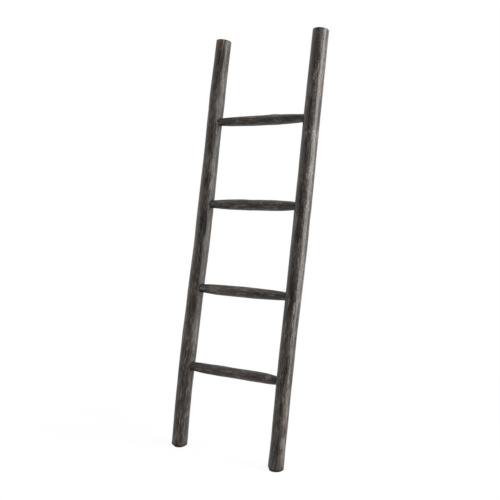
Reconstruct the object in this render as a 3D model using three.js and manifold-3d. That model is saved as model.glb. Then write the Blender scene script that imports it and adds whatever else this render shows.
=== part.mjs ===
// A decorative ladder that leans on a wall: two round wooden poles and four whittled rungs.
//
// Each rung ends in a round tenon that sits in a blind hole in the pole. A wooden peg, driven in from the wall
// side, goes through the tenon and holds it. The poles are natural ones: they swell, thin and sway a little.
//
// Millimetres, +Z up. The ladder stands on z = 0 and leans towards +Y, and +X is on the right for someone who
// faces it. The origin is the middle of the floor space that it covers.

import * as THREE from 'three';
import { mergeVertices } from 'three/addons/utils/BufferGeometryUtils.js';
import Module from 'manifold-3d';

// The ladder as a whole
const leanDegrees = 11.2; // back from the vertical
const railSpacing = 412; // from one pole's axis to the other's
const railLength = 1500; // from the floor to the sawn top, along the pole
const topRound = 4; // rounding of the sawn top's edge

// The left pole. Its radius runs smoothly through its values at the foot, halfway and at the top.
const leftFootRadius = 27.7;
const leftMiddleRadius = 28.3;
const leftTopRadius = 27.1;
const leftSway = 2.4; // how far it strays to each side of a straight line
const leftFootRound = 9; // rounding of the foot's edge, which is worn more than the right one's

// The right pole
const rightFootRadius = 23.9;
const rightMiddleRadius = 27.5;
const rightTopRadius = 27.4;
const rightSway = 1.5;
const rightFootRound = 4;

// Both poles
const swayWave = 1050; // length along the pole of one full sway from side to side
const footShear = 120; // stretch above the foot over which the pole's rings turn from level to square

// The rungs, from the floor up. A height is measured along the pole. The thickest place is measured to the right
// of the middle, and a fuller rung stays thick for longer before its ends draw in.
const bottomRungHeight = 290;
const bottomRungRadius = 18.5;
const bottomRungThickest = 0;
const bottomRungFullness = 8;

const lowerMiddleRungHeight = 574;
const lowerMiddleRungRadius = 19.1;
const lowerMiddleRungThickest = -30;
const lowerMiddleRungFullness = 4;

const upperMiddleRungHeight = 884;
const upperMiddleRungRadius = 18.9;
const upperMiddleRungThickest = -5;
const upperMiddleRungFullness = 4;

const topRungHeight = 1191;
const topRungRadius = 18.7;
const topRungThickest = 45;
const topRungFullness = 2;

// The joint of a rung and a pole
const tenonRadius = 13;
const tenonPastAxis = 12; // how far the tenon goes past the pole's axis
const tenonChamfer = 1.5;
const tenonClearance = 0.3; // all round the tenon and at its end

// The pegs
const pegRadius = 4;
const pegPastTenon = 6; // how far the peg goes into the wood in front of the tenon
const pegChamfer = 1;
const pegClearance = 0.3; // all round the peg, at its end, and under the pole's back

// How finely round shapes are cut into flats
const railSides = 32;
const railSteps = 20;
const rungSides = 24;
const rungSteps = 16;
const roundingSteps = 3;
const pegSides = 12;

const lean = THREE.MathUtils.degToRad(leanDegrees);

const rails = [
  {
    name: 'left_rail',
    side: -1,
    footRadius: leftFootRadius,
    middleRadius: leftMiddleRadius,
    topRadius: leftTopRadius,
    sway: leftSway,
    footRound: leftFootRound,
  },
  {
    name: 'right_rail',
    side: 1,
    footRadius: rightFootRadius,
    middleRadius: rightMiddleRadius,
    topRadius: rightTopRadius,
    sway: rightSway,
    footRound: rightFootRound,
  },
];

const rungs = [
  {
    name: 'bottom_rung',
    height: bottomRungHeight,
    radius: bottomRungRadius,
    thickest: bottomRungThickest,
    fullness: bottomRungFullness,
  },
  {
    name: 'lower_middle_rung',
    height: lowerMiddleRungHeight,
    radius: lowerMiddleRungRadius,
    thickest: lowerMiddleRungThickest,
    fullness: lowerMiddleRungFullness,
  },
  {
    name: 'upper_middle_rung',
    height: upperMiddleRungHeight,
    radius: upperMiddleRungRadius,
    thickest: upperMiddleRungThickest,
    fullness: upperMiddleRungFullness,
  },
  {
    name: 'top_rung',
    height: topRungHeight,
    radius: topRungRadius,
    thickest: topRungThickest,
    fullness: topRungFullness,
  },
];

const wasm = await Module();
wasm.setup();

// A pole's radius at a height along it: the parabola through its three values.
function railRadius(rail, height) {
  const share = height / railLength;
  const foot = rail.footRadius * (1 - share) * (1 - 2 * share);
  const middle = rail.middleRadius * 4 * share * (1 - share);
  const top = rail.topRadius * share * (2 * share - 1);
  return foot + middle + top;
}

// Where a pole's axis is from side to side at a height along it.
function railAxisX(rail, height) {
  const sway = rail.sway * Math.sin((2 * Math.PI * height) / swayWave);
  return (rail.side * railSpacing) / 2 - sway;
}

// The inset and the rise of a rounded edge, from its flat end to its side.
function rounding(radius) {
  const stages = [];
  for (let step = 0; step <= roundingSteps; step += 1) {
    const angle = (Math.PI / 2) * (1 - step / roundingSteps);
    stages.push({ inset: radius * (1 - Math.cos(angle)), rise: radius * (1 - Math.sin(angle)) });
  }
  return stages;
}

// One ring of a pole. The slope slides its points along the pole, which tilts the ring towards the floor's level.
function railRing(rail, height, inset, slope) {
  const ring = [];
  const radius = railRadius(rail, height) - inset;
  const centre = railAxisX(rail, height);
  for (let side = 0; side < railSides; side += 1) {
    const angle = (2 * Math.PI * side) / railSides;
    const y = radius * Math.sin(angle);
    ring.push(new THREE.Vector3(centre + radius * Math.cos(angle), y, height + slope * y));
  }
  return ring;
}

// The rings of a pole from its foot, which is sawn level with the floor, to its square top.
function railRings(rail) {
  const levelSlope = Math.tan(lean);
  const rings = rounding(rail.footRound).map(({ inset, rise }) =>
    railRing(rail, rise / Math.cos(lean), inset, levelSlope));
  const low = rail.footRound / Math.cos(lean);
  const high = railLength - topRound;
  for (let step = 1; step < railSteps; step += 1) {
    const height = low + ((high - low) * step) / railSteps;
    const slope = levelSlope * Math.max(0, 1 - (height - low) / footShear);
    rings.push(railRing(rail, height, 0, slope));
  }
  for (const { inset, rise } of rounding(topRound).reverse()) {
    rings.push(railRing(rail, railLength - rise, inset, 0));
  }
  return rings;
}

// A closed geometry whose side joins the rings and whose two ends are flat fans.
function ringsGeometry(rings) {
  const count = rings[0].length;
  const last = (rings.length - 1) * count;
  const points = rings.flat();
  const bottom = points.length;
  const top = bottom + 1;
  const index = [];
  for (let side = 0; side < count; side += 1) {
    const next = (side + 1) % count;
    for (let ring = 0; ring < rings.length - 1; ring += 1) {
      const low = ring * count;
      const high = low + count;
      index.push(low + side, low + next, high + next, low + side, high + next, high + side);
    }
    index.push(bottom, next, side, top, last + side, last + next);
  }
  points.push(middleOf(rings[0]), middleOf(rings[rings.length - 1]));
  const geometry = new THREE.BufferGeometry().setFromPoints(points);
  geometry.setIndex(index);
  return geometry;
}

function middleOf(ring) {
  const sum = ring.reduce((total, point) => total.add(point), new THREE.Vector3());
  return sum.divideScalar(ring.length);
}

// A geometry as a solid for cutting: shared points merged, and triangles that closed up left out.
function solidOf(geometry) {
  geometry.deleteAttribute('normal');
  geometry.deleteAttribute('uv');
  const merged = mergeVertices(geometry);
  const corners = merged.index.array;
  const triangles = [];
  for (let first = 0; first < corners.length; first += 3) {
    const [a, b, c] = corners.slice(first, first + 3);
    if (a !== b && b !== c && c !== a) {
      triangles.push(a, b, c);
    }
  }
  const vertProperties = merged.getAttribute('position').array;
  const triVerts = new Uint32Array(triangles);
  return new wasm.Manifold(new wasm.Mesh({ numProp: 3, vertProperties, triVerts }));
}

function geometryOf(solid) {
  const { vertProperties, triVerts } = solid.getMesh();
  const geometry = new THREE.BufferGeometry();
  geometry.setAttribute('position', new THREE.BufferAttribute(vertProperties, 3));
  geometry.setIndex(new THREE.BufferAttribute(triVerts, 1));
  geometry.computeVertexNormals();
  return geometry;
}

// A round cutter along X from one place to another, at a height along the pole.
function cutterAlongX(radius, fromX, toX, height) {
  const geometry = new THREE.CylinderGeometry(radius, radius, Math.abs(toX - fromX), rungSides);
  geometry.rotateZ(-Math.PI / 2);
  geometry.translate((fromX + toX) / 2, 0, height);
  return solidOf(geometry);
}

// A round cutter for a peg, from its blind end in front of the tenon to well past the pole's back.
function pegCutter(rail, height) {
  const from = pegFront() - pegClearance;
  const to = 2 * railRadius(rail, height);
  const radius = pegRadius + pegClearance;
  const geometry = new THREE.CylinderGeometry(radius, radius, to - from, pegSides);
  geometry.translate(railAxisX(rail, height), (from + to) / 2, height);
  return solidOf(geometry);
}

function pegFront() {
  return -(tenonRadius + tenonClearance + pegPastTenon);
}

// Where a rung's tenon ends inside a pole, and where its body comes out of the pole's inner side.
function tenonEndX(rail, height) {
  return railAxisX(rail, height) + rail.side * tenonPastAxis;
}

function bodyEndX(rail, height) {
  return railAxisX(rail, height) - rail.side * railRadius(rail, height);
}

function makeRail(rail) {
  let solid = solidOf(ringsGeometry(railRings(rail)));
  for (const { height } of rungs) {
    const bottomX = tenonEndX(rail, height) + rail.side * tenonClearance;
    const mouthX = bodyEndX(rail, height) - rail.side * tenonRadius;
    solid = solid.subtract(cutterAlongX(tenonRadius + tenonClearance, mouthX, bottomX, height));
    solid = solid.subtract(pegCutter(rail, height));
  }
  return geometryOf(solid);
}

// A rung's profile from end to end: a tenon, a body that swells and draws in again, and a tenon.
function rungProfile(rung) {
  const [leftEnd, rightEnd] = rails.map((rail) => tenonEndX(rail, rung.height));
  const [leftBody, rightBody] = rails.map((rail) => bodyEndX(rail, rung.height));
  const profile = [
    new THREE.Vector2(0, leftEnd),
    new THREE.Vector2(tenonRadius - tenonChamfer, leftEnd),
    new THREE.Vector2(tenonRadius, leftEnd + tenonChamfer),
  ];
  for (let step = 0; step <= rungSteps; step += 1) {
    const along = -Math.cos((Math.PI * step) / rungSteps);
    const swell = 1 - Math.abs(along) ** rung.fullness;
    const bodyEnd = along < 0 ? leftBody : rightBody;
    const x = rung.thickest + (bodyEnd - rung.thickest) * Math.abs(along);
    profile.push(new THREE.Vector2(tenonRadius + (rung.radius - tenonRadius) * swell, x));
  }
  profile.push(
    new THREE.Vector2(tenonRadius, rightEnd - tenonChamfer),
    new THREE.Vector2(tenonRadius - tenonChamfer, rightEnd),
    new THREE.Vector2(0, rightEnd),
  );
  return profile;
}

function makeRung(rung) {
  const geometry = new THREE.LatheGeometry(rungProfile(rung), rungSides);
  geometry.rotateZ(-Math.PI / 2);
  geometry.translate(0, 0, rung.height);
  let solid = solidOf(geometry);
  for (const rail of rails) {
    solid = solid.subtract(pegCutter(rail, rung.height));
  }
  return geometryOf(solid);
}

// A peg with both ends chamfered, cut off just under the pole's back.
function makePeg(rail, rung) {
  const front = pegFront();
  const back = railRadius(rail, rung.height) - pegClearance;
  const profile = [
    new THREE.Vector2(0, front),
    new THREE.Vector2(pegRadius - pegChamfer, front),
    new THREE.Vector2(pegRadius, front + pegChamfer),
    new THREE.Vector2(pegRadius, back - pegChamfer),
    new THREE.Vector2(pegRadius - pegChamfer, back),
    new THREE.Vector2(0, back),
  ];
  const geometry = new THREE.LatheGeometry(profile, pegSides);
  geometry.translate(railAxisX(rail, rung.height), 0, rung.height);
  return geometryOf(solidOf(geometry));
}

const railWood = () => new THREE.MeshStandardMaterial({ color: 0x4a4540, roughness: 0.45, metalness: 0 });
const rungWood = () => new THREE.MeshStandardMaterial({ color: 0x3d3833, roughness: 0.55, metalness: 0 });
const pegWood = () => new THREE.MeshStandardMaterial({ color: 0x574a3f, roughness: 0.65, metalness: 0 });

function addPiece(group, name, geometry, material) {
  const mesh = new THREE.Mesh(geometry, material);
  mesh.name = name;
  group.add(mesh);
}

// The pieces are made upright with the poles along Z, and the group leans them back.
const ladder = new THREE.Group();
ladder.rotation.x = -lean;
for (const rail of rails) {
  addPiece(ladder, rail.name, makeRail(rail), railWood());
}
for (const rung of rungs) {
  addPiece(ladder, rung.name, makeRung(rung), rungWood());
  for (const rail of rails) {
    const side = rail.name.replace('_rail', '');
    addPiece(ladder, `${rung.name}_${side}_peg`, makePeg(rail, rung), pegWood());
  }
}

// The origin goes to the middle of the floor space that the leaning ladder covers.
const model = new THREE.Group();
model.add(ladder);
model.updateMatrixWorld(true);
const box = new THREE.Box3().setFromObject(ladder, true);
const middle = box.getCenter(new THREE.Vector3());
ladder.position.set(-middle.x, -middle.y, -box.min.z);

export default model;
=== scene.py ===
# %% [markdown]
# A tall wooden ladder that leans on a wall. Two natural poles, stained near black and rubbed with wax, hold
# four whittled rungs. Each rung ends in a round tenon in a blind hole, and a peg driven in from the wall
# side locks it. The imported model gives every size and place. This script dresses it: each piece is made
# again as a fine surface, with the marks of the knife, the saw and years of handling, and gets its wood as
# a pattern of shader nodes. All lengths are in metres.

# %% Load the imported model
import math

import bpy
import mathutils
import numpy as np
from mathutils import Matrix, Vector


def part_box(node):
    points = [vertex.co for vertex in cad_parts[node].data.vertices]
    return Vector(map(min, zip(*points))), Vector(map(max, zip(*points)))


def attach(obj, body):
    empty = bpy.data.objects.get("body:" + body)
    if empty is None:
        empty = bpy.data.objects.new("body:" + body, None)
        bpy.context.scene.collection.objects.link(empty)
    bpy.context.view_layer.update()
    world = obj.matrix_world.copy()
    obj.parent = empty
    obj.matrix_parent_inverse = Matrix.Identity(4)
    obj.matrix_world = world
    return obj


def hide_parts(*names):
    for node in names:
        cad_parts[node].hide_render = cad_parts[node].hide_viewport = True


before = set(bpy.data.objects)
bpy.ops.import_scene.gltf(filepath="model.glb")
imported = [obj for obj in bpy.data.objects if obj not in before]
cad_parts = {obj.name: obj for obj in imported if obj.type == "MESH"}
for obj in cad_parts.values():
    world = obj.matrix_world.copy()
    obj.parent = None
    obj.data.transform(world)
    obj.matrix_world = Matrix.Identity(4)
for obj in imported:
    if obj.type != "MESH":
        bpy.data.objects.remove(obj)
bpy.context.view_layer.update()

BODY = "root"

# %% [markdown]
# The photograph was taken from the ladder's right, with the lens a little above its middle and tipped down.
# A camera is no more than a place, a turn, a tip and a focal length. These were found by laying the
# outlines of the poles and rungs over those of the photograph until they met, which is surer than judging
# them by eye.

# %% Camera
CAMERA_PLACE = (1.4906, -2.2240, 0.9614)
CAMERA_TURN = math.radians(33.685)
CAMERA_TIP = math.radians(5.380)
SENSOR_WIDTH = 36.0
IMAGE_WIDTH = 500
FOCAL_PIXELS = 760.7


def make_camera():
    """A level camera that looks along +Y, turned to the left about Z and then tipped down."""
    data = bpy.data.cameras.new("camera")
    data.sensor_width = SENSOR_WIDTH
    data.lens = FOCAL_PIXELS / IMAGE_WIDTH * SENSOR_WIDTH
    camera = bpy.data.objects.new("camera", data)
    camera.location = CAMERA_PLACE
    camera.rotation_euler = (math.pi / 2 - CAMERA_TIP, 0, CAMERA_TURN)
    bpy.context.scene.collection.objects.link(camera)
    bpy.context.scene.camera = camera
    return camera


print("the lens is", round(make_camera().data.lens, 2), "mm")

# %% [markdown]
# Everything on a ladder is placed along its poles, so it is easier to work in the ladder's own space: x
# across, y square to the ladder and towards the wall, z along the poles from the floor. The rungs' boxes
# give that space. A rung is round and its axis meets the poles' axes, so the middles of the top and bottom
# boxes lie on the lean.

# %% The ladder's own space
RUNGS = ("bottom_rung", "lower_middle_rung", "upper_middle_rung", "top_rung")
SIDES = {"left": -1, "right": 1}


def box_middle(node):
    """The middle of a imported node's box, in the row frame."""
    low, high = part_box(node)
    return np.array(low + high) / 2


lowest, highest = box_middle(RUNGS[0]), box_middle(RUNGS[-1])
LEAN = math.atan2(highest[1] - lowest[1], highest[2] - lowest[2])
FOOT = np.array([0, lowest[1] - lowest[2] * math.tan(LEAN), 0])
AXES = np.array([
    [1, 0, 0],
    [0, math.cos(LEAN), -math.sin(LEAN)],
    [0, math.sin(LEAN), math.cos(LEAN)],
])


def to_ladder(points):
    """The row frame to the ladder's own space: the shares of a point along the three axes from the foot."""
    return (points - FOOT) @ AXES.T


def to_row(points):
    """The ladder's own space back to the row frame: the three axes, each times its share, from the foot."""
    return FOOT + points @ AXES


def row_point(x, y, z):
    """One point of the ladder's own space, as three numbers in the row frame."""
    return tuple(to_row(np.array([x, y, z])))


def node_points(node):
    """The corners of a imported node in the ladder's own space."""
    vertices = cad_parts[node].data.vertices
    flat = np.empty(3 * len(vertices), np.float32)
    vertices.foreach_get("co", flat)
    return to_ladder(flat.reshape(-1, 3).astype(float))


heights = {rung: to_ladder(box_middle(rung))[2] for rung in RUNGS}
print("the lean is", round(math.degrees(LEAN), 2), "degrees")
print("the rungs are this far along the poles:", [round(float(height), 3) for height in heights.values()])

# %% [markdown]
# A shader is a small sum worked out at every point of a surface. Written as a tree of nodes it soon can't
# be read, so one class wraps a socket and lets Python's own signs stand for Math nodes: 1 - mask adds a
# Subtract node. The other class holds one material's tree, and every other node comes from its one method,
# add.

# %% Shader maths
class Value:
    """A node's output in a sum."""

    def __init__(self, tree, socket):
        self.tree = tree
        self.socket = socket

    def sum(self, operation, left, right):
        return self.tree.add("ShaderNodeMath", {"operation": operation}, {0: left, 1: right})

    def __add__(self, other):
        return self.sum("ADD", self, other)

    def __radd__(self, other):
        return self.sum("ADD", other, self)

    def __sub__(self, other):
        return self.sum("SUBTRACT", self, other)

    def __rsub__(self, other):
        return self.sum("SUBTRACT", other, self)

    def __mul__(self, other):
        return self.sum("MULTIPLY", self, other)

    def __rmul__(self, other):
        return self.sum("MULTIPLY", other, self)


class Tree:
    """The node tree of one material or of the world."""

    def __init__(self, owner):
        owner.use_nodes = True
        self.nodes = owner.node_tree.nodes
        self.links = owner.node_tree.links
        self.nodes.clear()

    def add(self, kind, settings=None, inputs=None, output=0):
        """A node of this kind. Its settings are set first, then the values or links of its sockets."""
        node = self.nodes.new(kind)
        for name, value in (settings or {}).items():
            if name == "stops":
                self.set_stops(node.color_ramp, value)
            else:
                setattr(node, name, value)
        for name, value in (inputs or {}).items():
            if isinstance(value, Value):
                self.links.new(value.socket, node.inputs[name])
            else:
                node.inputs[name].default_value = value
        return Value(self, node.outputs[output]) if len(node.outputs) else node

    def set_stops(self, ramp, stops):
        """A colour ramp's stops, each a place from 0 to 1 and a colour."""
        while len(ramp.elements) < len(stops):
            ramp.elements.new(1)
        for element, (place, colour) in zip(ramp.elements, stops):
            element.position = place
            element.color = (*colour, 1)

    def mix(self, share, first, second):
        """The first colour where share is 0, the second where it is 1."""
        settings = {"data_type": "RGBA", "clamp_factor": True}
        first, second = (c if isinstance(c, Value) else (*c, 1) for c in (first, second))
        return self.add("ShaderNodeMix", settings, {0: share, 6: first, 7: second}, output=2)

    def tint(self, share, colour, tint):
        """The colour, multiplied by the tint as far as share says."""
        settings = {"data_type": "RGBA", "blend_type": "MULTIPLY"}
        return self.add("ShaderNodeMix", settings, {0: share, 6: colour, 7: (*tint, 1)}, output=2)

    def rise(self, value, low, high):
        """0 below low, 1 above high, and a smooth step between them."""
        settings = {"interpolation_type": "SMOOTHSTEP"}
        return self.add("ShaderNodeMapRange", settings, {"Value": value, "From Min": low, "From Max": high})

    def vectors(self, operation, first, second):
        """A sum of two vectors that gives a third."""
        return self.add("ShaderNodeVectorMath", {"operation": operation}, {0: first, 1: second})

    def measure(self, operation, *vectors):
        """A number taken from one vector, such as its length, or from two."""
        inputs = dict(enumerate(vectors))
        return self.add("ShaderNodeVectorMath", {"operation": operation}, inputs, output="Value")


print("the shader helpers are ready")

# %% [markdown]
# Wood has a direction. Patches of colour, fibres and pores are all long and thin, and lie along the grain.
# So the pattern is read in the piece's own space with z along the grain, and each noise is squeezed across
# it: a patch has a width across the grain and a length along it, which keeps the scale of the real wood.
# Straight streaks look printed, so the whole space is first pushed a little to and fro.

# %% Grain patterns
def grain_space(tree, place, turn):
    """Object coordinates, moved and turned so that z runs along the grain from this place."""
    points = tree.add("ShaderNodeTexCoord", output="Object")
    settings = {"vector_type": "TEXTURE"}
    return tree.add("ShaderNodeMapping", settings, {"Vector": points, "Location": place, "Rotation": turn})


def counted(tree, space, size, shift=0.0):
    """The space counted in patches of this width across the grain and length along it, and shifted."""
    width, length = size
    inputs = {"Vector": space, "Scale": (1 / width, 1 / width, 1 / length), "Location": (shift,) * 3}
    return tree.add("ShaderNodeMapping", inputs=inputs)


def patches(tree, space, size, shift, detail=2.0):
    """Noise of about 0 to 1 whose patches have this width across the grain and length along it."""
    inputs = {"Vector": counted(tree, space, size, shift), "Scale": 1.0, "Detail": detail}
    return tree.add("ShaderNodeTexNoise", inputs=inputs)


def wandering(tree, space, amount, size):
    """The grain's space with its lines pushed sideways by a slow noise, by up to about this amount."""
    inputs = {"Vector": counted(tree, space, size), "Scale": 1.0, "Detail": 1.0}
    noise = tree.add("ShaderNodeTexNoise", inputs=inputs, output="Color")
    centred = tree.vectors("SUBTRACT", noise, (0.5, 0.5, 0.5))
    pushed = tree.vectors("MULTIPLY", centred, (amount, amount, 0))
    return tree.vectors("ADD", space, pushed)


print("the grain patterns are ready")

# %% [markdown]
# The stain is a thin near-black wash, rubbed with wax. The wax gives a satin shine, which the shader adds
# to the colour, so the colours themselves are kept dark. A pattern alone puts no mark where the real wood
# has one. The pale and dark places that stand out are therefore soft oval spots, placed one by one on the
# surface. Some are worn and stained places, and others paint light: painted highlight and painted shade.

# %% Stain, wax, worn places and painted light
NEAR_BLACK = (0.0064, 0.0046, 0.0034)
CHARCOAL = (0.0234, 0.0182, 0.0141)
TAUPE = (0.0540, 0.0440, 0.0362)
PALE_TAUPE = (0.1760, 0.1540, 0.1340)
STAIN_STOPS = [(0.0, NEAR_BLACK), (0.35, CHARCOAL), (0.65, TAUPE), (1.0, PALE_TAUPE)]
WORN_BROWN = (0.1200, 0.0940, 0.0780)
WARM_TINT = (1.10, 0.970, 0.945)
COOL_TINT = (0.91, 1.005, 1.03)
SHEEN_TINT = (1.0, 0.985, 0.970, 1)
RELIEF_STRENGTH = 0.7
SPOT_CORE = 0.25


def worn_and_painted_spots(tree, space, turn, marks):
    """The sum of soft oval spots, each at a point of the surface, with a width and a length along the
    grain. Some are worn places and some paint light: painted highlight and painted shade. A spot has its
    full strength in its core and fades to 0 at its edge. It is paler above 0 and darker below."""
    total = 0.0
    back = mathutils.Euler(turn).to_matrix().inverted()
    for point, width, length, strength in marks:
        centre = tuple(back @ (mathutils.Vector(point) - mathutils.Vector(FOOT)))
        inputs = {"Vector": space, "Location": centre, "Scale": (width, width, length)}
        spot = tree.add("ShaderNodeMapping", {"vector_type": "TEXTURE"}, inputs)
        total = total + strength * (1 - tree.rise(tree.measure("LENGTH", spot), SPOT_CORE, 1.0))
    return total


def surface(tree, colour, roughness, height, depth, sheen=0.5):
    """The finish of a surface: its colour, its roughness, relief of this depth, and its wax's strength."""
    relief = {"Strength": RELIEF_STRENGTH, "Distance": depth, "Height": height}
    normal = tree.add("ShaderNodeBump", inputs=relief)
    finish = {"Base Color": colour, "Roughness": roughness, "Normal": normal}
    finish.update({"Specular IOR Level": sheen, "Specular Tint": SHEEN_TINT})
    shader = tree.add("ShaderNodeBsdfPrincipled", inputs=finish)
    tree.add("ShaderNodeOutputMaterial", inputs={"Surface": shader})


print("the stain runs through", len(STAIN_STOPS), "colours")

# %% [markdown]
# The wash sank deep into the open wood and lies thin on the hard late wood, so the colour runs in streaks
# from black over charcoal to taupe. Handling has taken it off the high places, where a reddish brown shows
# through, and the pores are the darkest and dullest. One noise can't do all that, so there are nine layers
# of different size. Five are summed to one tone, which a colour ramp turns into the stain's colours. The
# other four tint it, wear it and put in the pores.

# %% Stained wood
POLE_TURN = (-LEAN, 0, 0)
RUNG_TURN = (0, math.pi / 2, 0)
PEG_TURN = (math.pi / 2 - LEAN, 0, 0)
GRAIN_WANDER = 0.006
WANDER_SIZE = (0.05, 0.25)
WOOD_RELIEF = 0.00025

# Each layer: its patches' width and length, the shift and the detail of its noise, and the values of the
# noise between which a patch comes in. Where these are None, the layer is the noise itself.
LAYERS = {
    "broad": ((0.022, 0.10), 0, 2, (0.36, 0.64)),
    "streak": ((0.0055, 0.045), 3, 3, (0.34, 0.68)),
    "fine": ((0.0024, 0.028), 5, 3, None),
    "fleck": ((0.0030, 0.014), 6, 2, None),
    "fibre": ((0.0005, 0.012), 7, 2, None),
    "pore": ((0.0004, 0.006), 9, 0, (0.66, 0.74)),
    "warm": ((0.014, 0.070), 11, 2, (0.44, 0.62)),
    "cool": ((0.020, 0.100), 13, 2, (0.46, 0.62)),
    "rubbed": ((0.0030, 0.050), 15, 3, (0.60, 0.74)),
}

# What the layers add to the tone, to the roughness and to the relief, and how much brown and black they let
# in. The ridge is how far the surface stands out there.
TONE = {"broad": 0.30, "streak": 0.60, "fine": 2.00, "fibre": 0.60, "ridge": 0.08}
DULLNESS = {"streak": 0.10, "fine": 0.15, "pore": 0.20}
RELIEF = {"fibre": 0.5, "pore": 0.8}
RIDGE_RUBBED = 0.06
RUBBED_BROWN = 0.36
PORE_BLACK = 0.7

# What differs from piece to piece. The warmth widens the warm patches and narrows the cool ones.
FINISHES = {
    "left_pole": dict(tone=-0.12, dullness=0.32, sheen=0.46, shift=1.7, warmth=0.0, flecks=1.65),
    "right_pole": dict(tone=-0.22, dullness=0.27, sheen=0.56, shift=40.3, warmth=0.0, flecks=1.65),
    "rung": dict(tone=0.03, dullness=0.42, sheen=0.52, shift=80.9, warmth=0.08, flecks=1.20),
    "peg": dict(tone=0.05, dullness=0.60, sheen=0.50, shift=120.1, warmth=0.0, flecks=1.65),
}


def stained_wood(piece, turn, marks=()):
    """The sum of the layers and of the worn places, coloured by a ramp, then tinted and rubbed."""
    finish = FINISHES[piece]
    material = bpy.data.materials.new(f"{piece}_wood")
    tree = Tree(material)
    space = wandering(tree, grain_space(tree, tuple(FOOT), turn), GRAIN_WANDER, WANDER_SIZE)

    def layer(name, push=None):
        """One layer. A push is added to its noise: its patches grow, or shrink where it is below 0."""
        size, shift, detail, edges = LAYERS[name]
        noise = patches(tree, space, size, finish["shift"] + shift, detail)
        noise = noise if push is None else noise + push
        return tree.rise(noise, *edges) if edges else noise

    broad, streak, fine = layer("broad"), layer("streak"), layer("fine")
    fleck, fibre, pore = layer("fleck"), layer("fibre"), layer("pore")
    ridge = tree.add("ShaderNodeAttribute", {"attribute_name": "ridge"}, output="Fac")
    tone = finish["tone"] + TONE["broad"] * broad + TONE["streak"] * streak + TONE["fine"] * (fine - 0.5)
    tone = tone + finish["flecks"] * (fleck - 0.5) + TONE["fibre"] * (fibre - 0.5) + TONE["ridge"] * ridge
    # The spots add worn places and painted light, both painted highlight and painted shade, to the tone.
    tone = tone + worn_and_painted_spots(tree, space, turn, marks)
    colour = tree.add("ShaderNodeValToRGB", {"stops": STAIN_STOPS}, {"Fac": tone})
    colour = tree.tint(layer("warm", finish["warmth"]), colour, WARM_TINT)
    colour = tree.tint(layer("cool", -finish["warmth"]), colour, COOL_TINT)
    colour = tree.mix(RUBBED_BROWN * layer("rubbed", RIDGE_RUBBED * ridge), colour, WORN_BROWN)
    colour = tree.mix(PORE_BLACK * pore, colour, NEAR_BLACK)
    roughness = finish["dullness"] + DULLNESS["streak"] * (streak - 0.5) + DULLNESS["fine"] * (fine - 0.5)
    height = fine + RELIEF["fibre"] * fibre - RELIEF["pore"] * pore
    surface(tree, colour, roughness + DULLNESS["pore"] * pore, height, WOOD_RELIEF, finish["sheen"])
    return material


print("the stained wood has", len(LAYERS), "layers and", len(FINISHES), "finishes")

# %% [markdown]
# A sawn end shows the wood's other face: rings round the pith, with darker flecks between. A sine of the
# distance from the pith makes the rings, and the same slow push as in the grain takes away their roundness.
# The stain soaks in deep there, so it is the darkest wood on the ladder, and it is matt.

# %% End grain
RING_WIDTH = 0.0022
END_DARK = (0.012, 0.0105, 0.0095)
END_LIGHT = (0.045, 0.036, 0.030)
END_WANDER = 0.004
END_WANDER_SIZE = (0.02, 0.2)
END_FLECK_SIZE = (0.0008, 0.0008)
END_TONE = {"ring": 0.25, "fleck": 0.9}
END_DULLNESS = 0.62
END_FLECK_DULLNESS = 0.2
END_RING_RELIEF = 0.4
END_RELIEF = 0.0002


def end_grain(name, place, turn, shift):
    """End grain: a wave of the distance from the pith, bent by a slow noise, with darker flecks between."""
    material = bpy.data.materials.new(name)
    tree = Tree(material)
    space = wandering(tree, grain_space(tree, place, turn), END_WANDER, END_WANDER_SIZE)
    reach = tree.measure("LENGTH", tree.vectors("MULTIPLY", space, (1, 1, 0)))
    wave = tree.add("ShaderNodeMath", {"operation": "SINE"}, {0: reach * (2 * math.pi / RING_WIDTH)})
    flecks = patches(tree, space, END_FLECK_SIZE, shift)
    tone = 0.5 + END_TONE["ring"] * wave + END_TONE["fleck"] * (flecks - 0.5)
    colour = tree.mix(tone, END_DARK, END_LIGHT)
    roughness = END_DULLNESS + END_FLECK_DULLNESS * (flecks - 0.5)
    surface(tree, colour, roughness, END_RING_RELIEF * wave + flecks, END_RELIEF)
    return material


print("the rings of the end grain are", round(1000 * RING_WIDTH, 1), "mm apart")

# %% [markdown]
# Every piece here is a skin over rings: a pole, a rung, a peg and the drills that cut their holes. Its
# points are a grid, with the rings along one side and the points round each ring along the other, so one
# function can turn any such grid into a closed mesh. The numbers of all its faces' corners are worked out
# at once.

# %% Faces between rings
def ring_angles(sides):
    """The angles of the points round a ring, as one row of the grid."""
    return (2 * np.pi * np.arange(sides) / sides)[None, :]


def ring_corners(rings, sides):
    """Each quad's four corners, on this ring and the next. The last side is joined to the first."""
    ring, side = np.meshgrid(np.arange(rings - 1), np.arange(sides), indexing="ij")
    after = (side + 1) % sides
    this, following = ring * sides, (ring + 1) * sides
    return np.stack([this + side, this + after, following + after, following + side], -1).reshape(-1, 4)


def end_corners(rings, sides):
    """The triangles that close the two ends, from an end's middle point to each two neighbours on its ring.
    The two middle points come after all the points of the rings."""
    side = np.arange(sides)
    after = (side + 1) % sides
    last = (rings - 1) * sides
    low_fan = np.stack([np.full(sides, rings * sides), after, side], -1)
    high_fan = np.stack([np.full(sides, rings * sides + 1), last + side, last + after], -1)
    return low_fan, high_fan


print("a tube of 3 rings with 4 sides has", len(ring_corners(3, 4)), "quads")

# %% [markdown]
# A skin is also laid out flat on a map, so that an exported picture of its wood knows where it goes. The
# map is square and a pole is long and thin. Its skin is cut into strips side by side, which gives the
# picture enough dots across the grain, where the detail is. The end faces get small squares in the band
# above.

# %% The map of a skin
MAP_NAME = "OFBake"
STRIP_SHARE = 0.88
END_SHARE = 0.9
END_STEP = 1.1
MAP_MARGIN = 0.005


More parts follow.
